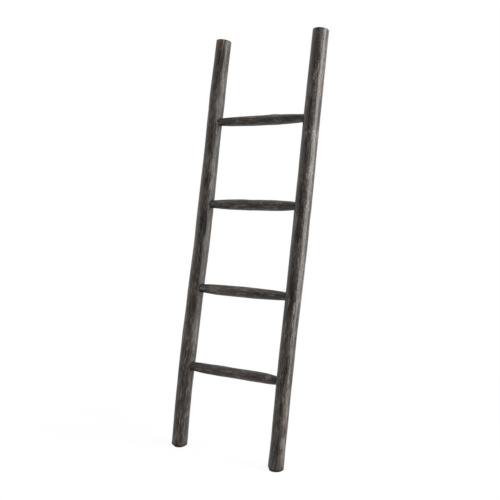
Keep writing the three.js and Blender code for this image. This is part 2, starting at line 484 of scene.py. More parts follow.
def strip_places(rings, sides, strips, first, last):
    """Each quad's four places on the map. The rings from first to last are shared out over the strips."""
    ring, side = np.meshgrid(np.arange(rings - 1), np.arange(sides), indexing="ij")
    share = np.clip((ring - first) / (last - first), 0, 1) * strips
    strip = np.minimum(np.floor(share), strips - 1)
    start = first + strip * (last - first) / strips
    step = strips / (last - first)
    low, high = (ring - start) * step, (ring + 1 - start) * step
    left, right = (strip + side / sides) / strips, (strip + (side + 1) / sides) / strips
    places = np.stack([low, left, low, right, high, right, high, left], -1).reshape(-1, 4, 2)
    places[..., 1] *= STRIP_SHARE
    return np.clip(places, 0.0, 1.0)


def end_places(points, middle, reach, slot):
    """Places on the map for an end face: the end seen square on, scaled into its own small square."""
    size = (1 - STRIP_SHARE) * END_SHARE
    corner = [(slot + 0.5) * size * END_STEP, 1 - size / 2 - MAP_MARGIN]
    return (points - middle) / reach * size / 2 + corner


def skin_places(rings, points, quads, fans, strips, caps, flat):
    """The places of all the faces' corners on the map, and for each quad whether it belongs to an end."""
    count, sides, _ = rings.shape
    first, last = caps[0], count - 1 - caps[1]
    ring = np.repeat(np.arange(count - 1), sides)
    ends = (ring < first, ring >= last)
    places = strip_places(count, sides, strips, first, last)
    reach = np.abs(rings - rings.mean(1, keepdims=True)).max()
    on_fans = []
    for slot, (end, fan, middle) in enumerate(zip(ends, fans, points[-2:, flat])):
        places[end] = end_places(points[quads[end]][..., flat], middle, reach, slot)
        on_fans.append(end_places(points[fan][..., flat], middle, reach, slot).reshape(-1, 2))
    return np.concatenate([places.reshape(-1, 2), *on_fans]), ends[0] | ends[1]


print("the strips take", STRIP_SHARE, "of the map's height")

# %% [markdown]
# Now the mesh itself. Blender keeps a mesh as long lists: the points, the corners of all the faces one
# after another, and where each face starts in that list. Setting whole lists is far faster than adding face
# by face.

# %% From a grid to a mesh
def make_skin(name, rings, materials, strips=1, caps=(0, 0), flat=(0, 1), window=(0, 0, 1, 1)):
    """A closed mesh over rings of points. The first and last rings of quads, as many as caps says, are its
    ends, which wear the second material and are mapped by the two given coordinates. The window is the part
    of the map that the skin gets: left, bottom, width and height."""
    count, sides, _ = rings.shape
    points = np.concatenate([rings.reshape(-1, 3), [rings[0].mean(0), rings[-1].mean(0)]])
    quads = ring_corners(count, sides)
    fans = end_corners(count, sides)
    places, on_end = skin_places(rings, points, quads, fans, strips, caps, flat)
    wears_end = np.concatenate([on_end, np.full(2 * sides, bool(caps[0] or caps[1]))])
    corners = np.concatenate([quads.ravel(), fans[0].ravel(), fans[1].ravel()])
    sizes = np.concatenate([np.full(len(quads), 4), np.full(2 * sides, 3)])
    starts = np.concatenate([[0], np.cumsum(sizes)[:-1]])

    mesh = bpy.data.meshes.new(name)
    mesh.vertices.add(len(points))
    mesh.vertices.foreach_set("co", to_row(points).astype(np.float32).ravel())
    mesh.loops.add(len(corners))
    mesh.loops.foreach_set("vertex_index", corners.astype(np.int32))
    mesh.polygons.add(len(sizes))
    mesh.polygons.foreach_set("loop_start", starts.astype(np.int32))
    for material in materials:
        mesh.materials.append(material)
    mesh.polygons.foreach_set("material_index", wears_end.astype(np.int32))
    mesh.polygons.foreach_set("use_smooth", np.ones(len(sizes), bool))
    layer = mesh.uv_layers.new(name=MAP_NAME)
    layer.uv.foreach_set("vector", (places * window[2:] + window[:2]).astype(np.float32).ravel())
    mesh.update(calc_edges=True)
    piece = bpy.data.objects.new(name, mesh)
    bpy.context.scene.collection.objects.link(piece)
    return piece


def set_ridge(piece, ridge):
    """Stores how far each point stands out, for the wood's wear. The two end points are 0."""
    attribute = piece.data.attributes.new("ridge", "FLOAT", "POINT")
    attribute.data.foreach_set("value", np.concatenate([ridge.ravel(), [0, 0]]).astype(np.float32))


print("the mesh maker is ready")

# %% [markdown]
# No hand-made pole is a true cylinder. Slow swellings and bends grew with the tree, the drawknife or the
# whittling knife left flats, and use left small nicks. Noise alone would look like clay. So the flats are
# made as the knife makes them: each stroke takes away all that stands above a shallow plane.

# %% Marks of growth and of the knife
STROKE_HALF_WIDTH = 1.0
LEAST_STROKE = 0.5
LEAST_NICK = 0.3
RIDGE_UNIT = 0.0004


def swelling(along, place, reach, rise):
    """A swelling all the way round: a bell curve along the piece."""
    return rise * np.exp(-(((along - place) / reach) ** 2))


def waves(random, angle, along, height, around, lengths, count):
    """Smooth unevenness of about this height: a sum of cosines, each with a whole number of waves round the
    piece, so that it closes on itself, and with a length along it drawn from the given range."""
    total = np.zeros(np.broadcast_shapes(angle.shape, along.shape))
    for _ in range(count):
        turns = random.integers(around[0], around[1] + 1)
        length = random.uniform(*lengths) * random.choice([-1, 1])
        total += np.cos(turns * angle + 2 * np.pi * along / length + random.uniform(0, 2 * np.pi))
    return height * (total / math.sqrt(count / 2))


def knife_stroke(radius, angle, along, middle, direction, length, deep):
    """One stroke cuts to a plane square to its direction. The plane is deepest at the stroke's middle and
    comes out of the wood towards its ends, so the radius becomes the lesser of itself and the plane's
    distance / cos."""
    away = (angle - direction + np.pi) % (2 * np.pi) - np.pi
    share = (along - middle) / (length / 2)
    plane = radius.mean(1, keepdims=True) - deep * (1 - 2 * share**2)
    facing = np.cos(np.clip(away, -STROKE_HALF_WIDTH, STROKE_HALF_WIDTH))
    cut = np.where(np.abs(away) < STROKE_HALF_WIDTH, plane / facing, np.inf)
    return np.minimum(radius, np.where(np.abs(share) < 1, cut, np.inf))


def knife_flats(random, radius, angle, along, depth, lengths, count):
    """Many strokes, each with its middle, length, depth and direction drawn at random."""
    for _ in range(count):
        middle = random.uniform(along.min(), along.max())
        length = random.uniform(*lengths)
        deep = depth * random.uniform(LEAST_STROKE, 1.0)
        direction = random.uniform(0, 2 * np.pi)
        radius = knife_stroke(radius, angle, along, middle, direction, length, deep)
    return radius


def nicks(random, angle, along, radius, depth, lengths, width, count):
    """Small dents along the grain: bell curves both ways, deepest in the middle."""
    total = np.zeros(np.broadcast_shapes(angle.shape, along.shape))
    for _ in range(count):
        middle = random.uniform(along.min(), along.max())
        away = (angle - random.uniform(0, 2 * np.pi) + np.pi) % (2 * np.pi) - np.pi
        length = random.uniform(*lengths)
        deep = depth * random.uniform(LEAST_NICK, 1.0)
        total -= deep * np.exp(-(((along - middle) / length) ** 2) - (away * radius / width) ** 2)
    return total


def worked_skin(random, angle, along, plain, rough, knife, work, planes=()):
    """The radius of a worked piece. The rough radius is made uneven by growth, cut to flats by the knife
    and to the placed planes, and left with fine ridges along the fibres and with nicks."""
    radius = rough + waves(random, angle, along, **work["growth"])
    radius = knife_flats(random, radius, angle, along, knife, **work["flats"])
    for plane in planes:
        radius = knife_stroke(radius, angle, along, *plane)
    radius = radius + waves(random, angle, along, **work["fibres"])
    return radius + nicks(random, angle, along, plain, **work["nicks"])


print("the marks are ready")

# %% [markdown]
# A natural pole is never quite straight or even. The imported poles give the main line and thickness, read
# from the mesh on the two lines where it is widest and carried on by a smooth curve. The bends and
# swellings that the photograph shows are added to it as bell curves, because a few of these are easy to
# place and to change.

# %% Lines of the poles
LINE_DEGREE = 6

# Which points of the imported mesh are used: those this near a widest line, this far from the pole's two
# ends, and this far from its middle, where the holes aren't.
LINE_WIDTH = 0.0001
CLEAR_OF_FOOT = 0.012
CLEAR_OF_TOP = 0.005
CLEAR_OF_HOLES = 0.020

# Each bell curve: its place along the pole, its reach and its rise, outwards or towards the right.
SWELLINGS = {
    "left": [(0.15, 0.10, -0.0007), (0.40, 0.10, 0.0003), (1.10, 0.10, -0.0011), (1.28, 0.05, 0.0011)],
    "right": [(0.01, 0.05, 0.0016), (0.15, 0.07, 0.0005), (0.50, 0.15, -0.0005), (0.88, 0.12, 0.0004),
              (1.10, 0.05, -0.0005), (1.23, 0.05, 0.0006)],
}
BENDS = {
    "left": [(0.00, 0.09, 0.0043), (0.22, 0.06, -0.0006), (0.55, 0.12, -0.0017), (0.83, 0.07, -0.0007),
             (1.25, 0.06, 0.0010)],
    "right": [(0.10, 0.12, 0.0011), (0.48, 0.12, -0.0010), (0.65, 0.07, -0.0007), (0.88, 0.12, -0.0008),
              (1.47, 0.05, -0.0008)],
}


def pole_line(side):
    """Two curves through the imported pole's widest lines, with the bends and swellings added: where its
    middle is, and its radius, by height. Also its length."""
    points = node_points(f"{side}_rail")
    middle_x = to_ladder(box_middle(f"{RUNGS[1]}_{side}_peg"))[0]
    length = points[:, 2].max()
    plain = (points[:, 2] > CLEAR_OF_FOOT) & (points[:, 2] < length - CLEAR_OF_TOP)
    on_widest = plain & (np.abs(points[:, 1]) < LINE_WIDTH)
    edges = []
    for sign in (-1, 1):
        edge = points[on_widest & (sign * (points[:, 0] - middle_x) > CLEAR_OF_HOLES)]
        edges.append(np.polynomial.Polynomial.fit(edge[:, 2], edge[:, 0], LINE_DEGREE))

    def middle(along):
        bends = sum(swelling(along, *bend) for bend in BENDS[side])
        return (edges[0](along) + edges[1](along)) / 2 + bends

    def radius(along):
        swellings = sum(swelling(along, *place) for place in SWELLINGS[side])
        return (edges[1](along) - edges[0](along)) / 2 + swellings

    return middle, radius, length


pole_lines = {side: pole_line(side) for side in SIDES}
for side, (middle, radius, length) in pole_lines.items():
    print("the", side, "pole is", round(length, 4), "long and", round(2 * radius(length / 2), 4), "thick")

# %% [markdown]
# The poles' colour also has places of its own: pale ones where the stain is rubbed away, dark ones where it
# lies thick, and a dark rim at the sawn top. Many spots are painted light. In the band of sheen on the right
# of each pole, the pale ones paint highlight and the dark ones dim it. The dark rim at the foot paints the
# shade where the bevel faces the floor. A noise finds no such places by itself. The list below was made by
# comparing the finished poles with the photograph along and across, and each spot is placed one by one.

# %% Worn places and painted light on the poles
# Each mark: its height, its turn in degrees from the front towards the right, its width and length, and how
# much paler it is, or darker where that is below 0.
POLE_MARKS = {
    "left": [
        (0.000, 38, 0.120, 0.012, -0.50), (0.070, 66, 0.016, 0.050, -0.20),
        (0.200, 62, 0.020, 0.080, -0.20), (0.210, 18, 0.025, 0.080, 0.15),
        (0.306, 14, 0.005, 0.018, 0.75), (0.348, 72, 0.010, 0.020, 0.45),
        (0.385, 74, 0.020, 0.070, 0.35), (0.442, 64, 0.009, 0.045, 0.35),
        (0.510, 15, 0.018, 0.060, -0.55), (0.510, 56, 0.020, 0.060, -0.22),
        (0.510, 62, 0.016, 0.050, -0.25), (0.640, 60, 0.018, 0.260, -0.28),
        (0.650, -9, 0.014, 0.300, 0.32), (0.650, 62, 0.016, 0.060, -0.20),
        (0.666, 21, 0.006, 0.014, 0.50), (0.730, 54, 0.008, 0.028, 0.30),
        (0.796, 17, 0.006, 0.016, -0.35), (0.810, -8, 0.018, 0.080, 0.50),
        (0.810, 45, 0.020, 0.070, -0.50), (0.960, 70, 0.020, 0.060, 0.25),
        (0.962, 28, 0.010, 0.028, -0.28), (1.115, 2, 0.012, 0.070, 0.22),
        (1.115, 20, 0.014, 0.080, -0.36), (1.290, 17, 0.010, 0.026, 0.30),
        (1.420, -22, 0.022, 0.090, -0.40), (1.420, 5, 0.035, 0.090, -0.16),
        (1.420, 44, 0.020, 0.090, -0.52), (1.500, 38, 0.120, 0.007, -0.30),
    ],
    "right": [
        (0.000, 30, 0.120, 0.010, -0.50), (0.055, 42, 0.014, 0.070, -0.22),
        (0.055, 63, 0.016, 0.070, 0.60), (0.060, 5, 0.030, 0.070, -0.20),
        (0.200, 60, 0.020, 0.080, 0.48), (0.210, -5, 0.022, 0.080, -0.22),
        (0.246, 24, 0.014, 0.034, 0.36), (0.480, -3, 0.007, 0.018, 0.80),
        (0.505, -10, 0.020, 0.060, -0.16), (0.505, 54, 0.013, 0.055, 0.50),
        (0.505, 69, 0.012, 0.055, -0.60), (0.536, 46, 0.005, 0.030, 0.55),
        (0.564, 6, 0.008, 0.022, 0.50), (0.602, 17, 0.010, 0.026, -0.34),
        (0.750, 18, 0.013, 0.900, -0.20), (0.810, -9, 0.012, 0.080, 0.30),
        (0.810, 12, 0.015, 0.070, -0.34), (0.810, 18, 0.018, 0.070, -0.26),
        (0.810, 66, 0.014, 0.070, -0.20), (0.820, -7, 0.009, 0.030, 0.70),
        (0.950, 54, 0.018, 0.120, 0.15), (1.040, 22, 0.008, 0.036, -0.34),
        (1.113, -7, 0.006, 0.032, 0.60), (1.115, 8, 0.030, 0.080, -0.18),
        (1.115, 50, 0.016, 0.070, 0.50), (1.226, 10, 0.010, 0.036, -0.30),
        (1.280, -6, 0.005, 0.034, 0.40), (1.326, 14, 0.008, 0.022, 0.36),
        (1.420, -18, 0.030, 0.090, -0.36), (1.420, 34, 0.012, 0.090, -0.25),
        (1.500, 30, 0.120, 0.007, -0.30),
    ],
}


def pole_point(side, height, turn):
    """A point on a pole's skin, at this height and this many degrees from the front towards the right."""
    middle, radius, _ = pole_lines[side]
    angle = math.radians(turn)
    off = float(radius(height))
    return row_point(float(middle(height)) + off * math.sin(angle), -off * math.cos(angle), height)


pole_woods = {}
for side, marks in POLE_MARKS.items():
    spots = [(pole_point(side, height, turn), *size) for height, turn, *size in marks]
    pole_woods[side] = stained_wood(f"{side}_pole", POLE_TURN, spots)
    print("the", side, "pole has", len(spots), "worn places")

# %% [markdown]
# From foot to top, a pole's skin is: a sawn face that is a shallow dome, a worn bevel, the long side, a
# small round edge and a sawn top. One profile of rings holds them all. The rings lie closer where the
# rungs' holes will be cut, so that a hole's edge has small faces round it, and further apart between them.

# %% Rings of a pole
CAP_RINGS = 12
CAP_START = 0.04
EDGE_RINGS = 6
TOP_ROUND = 0.0025
BEVEL_POWER = 1.15
FOOT_DOME = {"left": 0.0010, "right": 0.0006}
FOOT_BEVEL = {"left": (0.0070, 0.0110), "right": (0.0062, 0.0044)}
RING_STEP = 0.0030
JOINT_RING_STEP = 0.0012
JOINT_REACH = 0.022


def side_heights(low, high):
    """The heights of the long side's rings: fine steps near each rung and longer ones between."""
    stops = [low]
    for height in heights.values():
        stops += [height - JOINT_REACH, height, height + JOINT_REACH]
    stops.append(high)
    found = [np.array([low])]
    for start, end in zip(stops[:-1], stops[1:]):
        step = JOINT_RING_STEP if math.isclose(end - start, JOINT_REACH) else RING_STEP
        found.append(np.linspace(start, end, max(2, round((end - start) / step)) + 1)[1:])
    return np.concatenate(found)


def pole_profile(side, length):
    """For each ring from the foot's middle to the top's: its height, how far it is drawn in from the plain
    radius, and its share of that width. The bevel rises with a power of the way out, and the top's edge is
    a quarter of a circle. Also the height where the bevel ends."""
    bevel_height, bevel_inset = FOOT_BEVEL[side]
    quarter = np.linspace(0, np.pi / 2, EDGE_RINGS + 1)
    share = np.linspace(0, 1, EDGE_RINGS + 1)
    foot_rise = FOOT_DOME[side] + bevel_height * share**BEVEL_POWER
    bevel_end = foot_rise[-1] / math.cos(LEAN)
    long_side = side_heights(bevel_end, length - TOP_ROUND)
    cap = np.linspace(CAP_START, 1, CAP_RINGS, endpoint=False)
    along = np.concatenate([
        FOOT_DOME[side] * (cap**2 - cap[0] ** 2),
        foot_rise[:-1] / math.cos(LEAN),
        long_side,
        length - TOP_ROUND + (TOP_ROUND * np.sin(quarter))[1:],
        np.full(CAP_RINGS, length),
    ])
    inset = np.concatenate([
        np.full(CAP_RINGS, bevel_inset),
        (bevel_inset * (1 - share))[:-1],
        np.zeros(len(long_side)),
        (TOP_ROUND * (1 - np.cos(quarter)))[1:],
        np.full(CAP_RINGS, TOP_ROUND),
    ])
    shrink = np.concatenate([cap, np.ones(len(along) - 2 * CAP_RINGS), cap[::-1]])
    return along[:, None], inset[:, None], shrink[:, None], bevel_end


print("the left pole has", len(pole_profile("left", pole_lines["left"][2])[0]), "rings")

# %% [markdown]
# Now the poles are made. The knife's marks go on first, square to the pole. Then the foot, sawn level with
# the floor, slides its rings along the pole into the floor's plane, and they turn square over a hand's
# length. Its bevel is worn more on one side. The top is sawn square, but for a slight slope. Three broad
# planes of the drawknife stand out on the left pole, where the band of light on it narrows, and are placed
# one by one.

# %% Poles
POLE_SEEDS = {"left": 11, "right": 23}
POLE_SIDES = 128
FOOT_SHEAR = 0.120
TOP_STRETCH = 0.05
SKIN_LIFT = 0.0009
KNIFE_DEPTH = {"left": 0.00040, "right": 0.00030}
POLE_WORK = {
    "growth": {"height": 0.00035, "around": (1, 3), "lengths": (0.12, 0.45), "count": 20},
    "flats": {"lengths": (0.10, 0.35), "count": 260},
    "fibres": {"height": 0.00006, "around": (10, 26), "lengths": (0.08, 0.40), "count": 40},
    "nicks": {"depth": 0.0006, "lengths": (0.004, 0.030), "width": 0.0016, "count": 70},
}

# Each plane: its height, its turn in degrees from the front towards the right, its length and its depth.
WIDE_FLATS = {
    "left": [(0.810, 41, 0.22, 0.0011), (1.430, 42, 0.26, 0.0007), (1.115, 45, 0.20, 0.0004)],
    "right": [],
}

# The foot's wear: how far the bevel is lifted on its worn side, the share by which it is drawn in more
# there, and the worn side's direction. The top: how far it is lifted, and its slope towards the right.
FOOT_WORN = {"left": (0.0022, 0.10, math.radians(217)), "right": (0.0048, 0.40, math.radians(210))}
TOP_SLOPE = {"left": (0.0012, -0.045), "right": (0.0004, -0.015)}


def make_pole(side, seed):
    """Rings of points: middle + radius * (cos, sin) of the angle, at a height that the foot's and the top's
    slopes slide."""
    random = np.random.default_rng(seed)
    middle, plain_radius, length = pole_lines[side]
    along, inset, shrink, bevel_end = pole_profile(side, length)
    angle = ring_angles(POLE_SIDES)
    plain = plain_radius(along) + np.zeros_like(angle)
    knife = KNIFE_DEPTH[side]
    planes = [(height, math.radians(turn - 90), *size) for height, turn, *size in WIDE_FLATS[side]]
    radius = worked_skin(random, angle, along, plain, plain + knife + SKIN_LIFT, knife, POLE_WORK, planes)
    ridge = (radius - plain) / RIDGE_UNIT

    worn_rise, worn_share, worn_turn = FOOT_WORN[side]
    worn = np.cos(angle - worn_turn)
    radius = (radius - inset * np.where(along < bevel_end, 1 + worn_share * worn, 1)) * shrink
    fading = np.clip(1 - along / FOOT_SHEAR, 0, 1)
    level = math.tan(LEAN) * fading
    lifted = worn_rise * worn * np.clip(along / bevel_end, 0, 1) * fading
    rise, slope = TOP_SLOPE[side]
    near_top = np.clip((along - length + TOP_STRETCH) / TOP_STRETCH, 0, 1)
    top = near_top * (rise + slope * radius * np.cos(angle))
    x = middle(along) + radius * np.cos(angle)
    y = radius * np.sin(angle)
    z = along + level * y + top + lifted

    foot_place = row_point(float(middle(0.0)), 0, 0)
    ends = end_grain(f"{side}_pole_end_grain", foot_place, POLE_TURN, seed)
    materials = [pole_woods[side], ends]
    rings = np.stack([x, y, z], -1)
    piece = make_skin(f"{side}_rail_wood", rings, materials, strips=2, caps=(CAP_RINGS, CAP_RINGS))
    set_ridge(piece, ridge)
    print(piece.name, "has", len(rings), "rings and is", round(length, 4), "m long")
    return piece


poles = {side: make_pole(side, seed) for side, seed in POLE_SEEDS.items()}

# %% [markdown]
# A rung is whittled from a split billet: thickest along its middle, drawn in towards both ends, and a
# little bent, because it follows the grain. Each of the four has its own fullness, so the photograph's
# outline of each is put into a few numbers, and a power of the way out from the thickest place fills in the
# curve. The ends are turned to tenons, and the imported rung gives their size.

# %% Shapes of the rungs
RUNG_RING_STEP = 0.0020
RUNG_CAP_RINGS = 8
TENON_RINGS = 10
TENON_CHAMFER = 0.0015
TENON_SAMPLE = 0.004
SEAT_DEPTH = 0.006
SEAT_RINGS = 5
SEAT_STEP = 0.0002

# Sizes of each rung: the radius at its thickest place, the power of its curve, where it is thickest, its
# radii at the two ends, the rise of its middle, the height of its S-shaped bend, and a high place on its
# upper side (where, reach, rise).
RUNG_SHAPES = {
    "bottom_rung": dict(radius=0.0187, fullness=6.0, thickest=-0.006, shoulders=(0.0151, 0.0146),
                        bow=0.0002, bend=0.0010, high=(-0.060, 0.040, 0.0011)),
    "lower_middle_rung": dict(radius=0.0195, fullness=2.9, thickest=-0.029, shoulders=(0.0151, 0.0143),
                              bow=0.0001, bend=0.0002, high=(0.000, 0.030, 0.0005)),
    "upper_middle_rung": dict(radius=0.0193, fullness=3.3, thickest=0.031, shoulders=(0.0142, 0.0138),
                              bow=-0.0002, bend=0.0001, high=(-0.060, 0.040, 0.0013)),
    "top_rung": dict(radius=0.0184, fullness=2.8, thickest=0.015, shoulders=(0.0142, 0.0137),
                     bow=-0.0010, bend=-0.0001, high=(0.052, 0.022, 0.0017)),
}


def tenon_ends(rung):
    """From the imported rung: the places of its two ends, and its tenon's radius."""
    points = node_points(rung)
    low, high = points[:, 0].min(), points[:, 0].max()
    off_axis = np.hypot(points[:, 1], points[:, 2] - heights[rung])
    return low, high, off_axis[points[:, 0] < low + TENON_SAMPLE].max()


def pole_face(side, height):
    """Where a pole's inner side is at this height."""
    middle, radius, _ = pole_lines[side]
    return float(middle(height)) - SIDES[side] * float(radius(height))


def rung_profile(rung, left, right):
    """Each ring's place along the rung and its radius: a tenon, a seat that widens to the shoulder, the
    body, and the same again in turn. The body's radius = shoulder + (radius - shoulder) * (1 - share **
    fullness), with the share from the thickest place to the shoulder."""
    shape = RUNG_SHAPES[rung]
    low, high, tenon = tenon_ends(rung)
    body = np.linspace(left, right, round((right - left) / RUNG_RING_STEP) + 1)
    on_left = body < shape["thickest"]
    share = (body - shape["thickest"]) / (np.where(on_left, left, right) - shape["thickest"])
    shoulder = np.where(on_left, *shape["shoulders"])
    profile = shoulder + (shape["radius"] - shoulder) * (1 - share ** shape["fullness"])

    cap = np.linspace(CAP_START, 1, RUNG_CAP_RINGS, endpoint=False)
    seat = np.linspace(0, 1, SEAT_RINGS, endpoint=False)
    tip = tenon - TENON_CHAMFER
    along = np.concatenate([
        np.full(RUNG_CAP_RINGS, low), [low],
        np.linspace(low + TENON_CHAMFER, left - SEAT_DEPTH - SEAT_STEP, TENON_RINGS),
        left - SEAT_DEPTH * (1 - seat),
        body,
        right + SEAT_DEPTH * (1 - seat[::-1]),
        np.linspace(right + SEAT_DEPTH + SEAT_STEP, high - TENON_CHAMFER, TENON_RINGS),
        [high], np.full(RUNG_CAP_RINGS, high),
    ])
    radius = np.concatenate([
        cap * tip, [tip],
        np.full(TENON_RINGS, tenon),
        tenon + (profile[0] - tenon) * seat,
        profile,
        tenon + (profile[-1] - tenon) * seat[::-1],
        np.full(TENON_RINGS, tenon),
        [tip], cap[::-1] * tip,
    ])
    return along[:, None], radius[:, None]


for rung in RUNGS:
    print(rung, "comes out of the poles at", [round(pole_face(side, heights[rung]), 4) for side in SIDES])

# %% [markdown]
# The rungs have such places too, most of them pale. Some are rubbed places, and some of the pale ones along
# the upper side paint highlight: the brighter line that light from above lays there. All four share one
# wood, because they are stained alike. The noise is read where each rung lies, so no two of them look the
# same.

# %% Worn places and painted light on the rungs
TENON_SHIFT = 5.0

# Each mark: how far it is from the ladder's middle, its turn in degrees from the top towards the front, its
# width and length, and how much paler it is, or darker where that is below 0.
RUNG_MARKS = {
    "bottom_rung": [
        (-0.040, 80, 0.010, 0.040, -0.18), (-0.020, 47, 0.010, 0.160, 0.25),
        (0.015, 110, 0.005, 0.026, 0.34), (0.050, 95, 0.016, 0.050, 0.25),
        (0.150, 60, 0.012, 0.014, 0.95), (0.174, 90, 0.026, 0.012, -0.45),
    ],
    "lower_middle_rung": [
        (-0.165, 95, 0.007, 0.022, 0.80), (-0.120, 80, 0.018, 0.045, 0.22),
        (-0.103, 100, 0.006, 0.022, 0.36), (-0.050, 92, 0.018, 0.140, 0.25),
        (0.000, 52, 0.010, 0.200, 0.22),
    ],
    "upper_middle_rung": [
        (-0.098, 60, 0.008, 0.050, 0.34), (-0.080, 98, 0.014, 0.090, 0.25),
        (0.050, 115, 0.012, 0.050, -0.25), (0.080, 58, 0.010, 0.120, 0.40),
    ],
    "top_rung": [
        (0.040, 62, 0.010, 0.200, 0.40), (0.050, 35, 0.010, 0.040, 0.35),
        (0.120, 85, 0.020, 0.060, -0.28),
    ],
}


def rung_point(rung, x, turn):
    """A point on a rung's skin, this far from the middle and turned so far from the top to the front."""
    angle = math.radians(turn)
    off = RUNG_SHAPES[rung]["radius"]
    return row_point(x, -off * math.sin(angle), heights[rung] + off * math.cos(angle))


spots = [
    (rung_point(rung, x, turn), *size)
    for rung, marks in RUNG_MARKS.items()
    for x, turn, *size in marks
]
rung_wood = stained_wood("rung", RUNG_TURN, spots)
tenon_wood = end_grain("tenon_end_grain", tuple(FOOT), RUNG_TURN, TENON_SHIFT)
print("the rungs have", len(spots), "worn places")

# %% [markdown]
# The rungs are worked like the poles, but the marks fade out at the shoulders, where the rung was fitted to
# its hole. The body is a little wider than high all along, as a knife leaves it, and only the tenon is
# round. A factor on the width does that, and it falls to 1 over the seat.

# %% Rungs
RUNG_SEEDS = (31, 38, 45, 52)
RUNG_SIDES = 96
BODY_OVAL = 1.12
MARK_FADE = 0.010
RUNG_KNIFE_DEPTH = 0.00040
RUNG_WORK = {
    "growth": {"height": 0.0003, "around": (1, 4), "lengths": (0.06, 0.25), "count": 20},
    "flats": {"lengths": (0.05, 0.16), "count": 170},
    "fibres": {"height": 0.00005, "around": (8, 20), "lengths": (0.05, 0.20), "count": 30},
    "nicks": {"depth": 0.0006, "lengths": (0.003, 0.015), "width": 0.0015, "count": 30},
}


def make_rung(rung, seed):
    """Rings along x: (radius * oval * cos, radius * sin) of the angle, round a middle line that the bow and
    the bend lift. The high place lifts the upper side."""
    random = np.random.default_rng(seed)
    shape = RUNG_SHAPES[rung]
    left, right = (pole_face(side, heights[rung]) for side in SIDES)
    along, base = rung_profile(rung, left, right)
    angle = ring_angles(RUNG_SIDES)
    inside = np.minimum(along - left, right - along)
    fade = np.clip(inside / MARK_FADE, 0, 1)
    oval = 1 + (BODY_OVAL - 1) * np.clip(inside / SEAT_DEPTH + 1, 0, 1)

    plain = base + np.zeros_like(angle)
    worked = worked_skin(random, angle, along, plain, plain, RUNG_KNIFE_DEPTH, RUNG_WORK)
    worked = worked + swelling(along, *shape["high"]) * np.clip(np.sin(angle), 0, 1) ** 2
    radius = plain + (worked - plain) * fade
    turn = np.pi * along / (right - left)
    lift = (shape["bow"] * np.cos(turn) + shape["bend"] * np.sin(2 * turn)) * fade
    x = along + np.zeros_like(angle)
    y = radius * oval * np.cos(angle)
    z = heights[rung] + lift + radius * np.sin(angle)

    rings = np.stack([x, y, z], -1)
    caps = (RUNG_CAP_RINGS, RUNG_CAP_RINGS)
    piece = make_skin(f"{rung}_wood", rings, [rung_wood, tenon_wood], caps=caps, flat=(1, 2))
    set_ridge(piece, (radius - plain) / RIDGE_UNIT)
    print(piece.name, "has", len(along), "rings, from", round(left, 4), "to", round(right, 4))
    return piece


rungs = {rung: make_rung(rung, seed) for rung, seed in zip(RUNGS, RUNG_SEEDS)}

# %% [markdown]
# Eight pegs hold the rungs. Each was split from a billet and shaved to eight flats, then driven in from the
# wall side until its head lay just under the pole's skin. Only the heads show: small discs of dark end
# grain. A cosine with eight waves round the circle gives the flats.

# %% Pegs
PEG_SEEDS = ((71, 72), (76, 77), (81, 82), (86, 87))
PEG_SIDES = 32
PEG_RINGS = 24
PEG_CAP_RINGS = 6
PEG_CAP_START = 0.08
PEG_FLATS = 8
PEG_FLAT_DEPTH = 0.02
PEG_SHRINK = 0.02
PEG_UNEVEN = {"height": 0.01, "around": (1, 3), "lengths": (0.02, 0.06), "count": 8}
PEG_CHAMFER = 0.001
PEG_DOME = 0.0002
peg_wood = stained_wood("peg", PEG_TURN)


def make_peg(rung, side, seed):
    """Rings along y, from the blind end to the head. The section is eight shallow flats round a circle."""
    random = np.random.default_rng(seed)
    name = f"{rung}_{side}_peg"
    points = node_points(name)
    low, high = points.min(0), points.max(0)
    radius = (high[0] - low[0]) / 2
    middle = (low + high) / 2
    tip = radius - PEG_CHAMFER
    cap = np.linspace(PEG_CAP_START, 1, PEG_CAP_RINGS, endpoint=False)
    body = np.linspace(low[1] + PEG_CHAMFER, high[1] - PEG_CHAMFER, PEG_RINGS)
    blind, head = np.full(PEG_CAP_RINGS + 1, low[1]), np.full(PEG_CAP_RINGS + 1, high[1])
    along = np.concatenate([blind, body, head])[:, None]
    base = np.concatenate([cap * tip, [tip], np.full(PEG_RINGS, radius), [tip], cap[::-1] * tip])[:, None]
    angle = ring_angles(PEG_SIDES)
    wave = np.cos(PEG_FLATS * angle + random.uniform(0, 2 * np.pi))
    section = 1 - PEG_FLAT_DEPTH * (1 - wave) + waves(random, angle, along, **PEG_UNEVEN) - PEG_SHRINK
    reach = base * section
    dome = PEG_DOME * (1 - (reach / radius) ** 2) * (along == high[1])
    x = middle[0] + reach * np.sin(angle)
    z = middle[2] + reach * np.cos(angle)
    rings = np.stack([x, along + dome - PEG_DOME, z], -1)
    ends = end_grain(f"{name}_end_grain", row_point(*middle), PEG_TURN, seed)
    caps = (PEG_CAP_RINGS, PEG_CAP_RINGS)
    return make_skin(f"{name}_wood", rings, [peg_wood, ends], caps=caps, flat=(0, 2))


pegs = {
    (rung, side): make_peg(rung, side, seed)
    for rung, seeds in zip(RUNGS, PEG_SEEDS)
    for side, seed in zip(SIDES, seeds)
}
print("made", len(pegs), "pegs")

# %% [markdown]
# The holes are cut last, as in the workshop: a drill runs into each pole from its inner side for the tenon,
# and another from the wall side for the peg, through pole and tenon together. The drills are skins too, and
# Boolean modifiers take them out of the finished pieces, because no grid of rings could hold a hole in its
# side.

# %% Drills
HOLE_CLEARANCE = 0.0003
MOUTH_GAP = 0.0007
SEAT_CLEARANCE = 0.001
MOUTH_OVERRUN = 0.01
PEG_OVERRUN = 0.02
DRILL_SIDES = 64
WINDOW_START = (0.30, STRIP_SHARE + 0.01)
WINDOW_SIZE = (0.08, 0.10)
WINDOW_STEP = 0.085
DRILLED_SHIFT = 9.0
drilled_wood = end_grain("drilled_wood", tuple(FOOT), POLE_TURN, DRILLED_SHIFT)


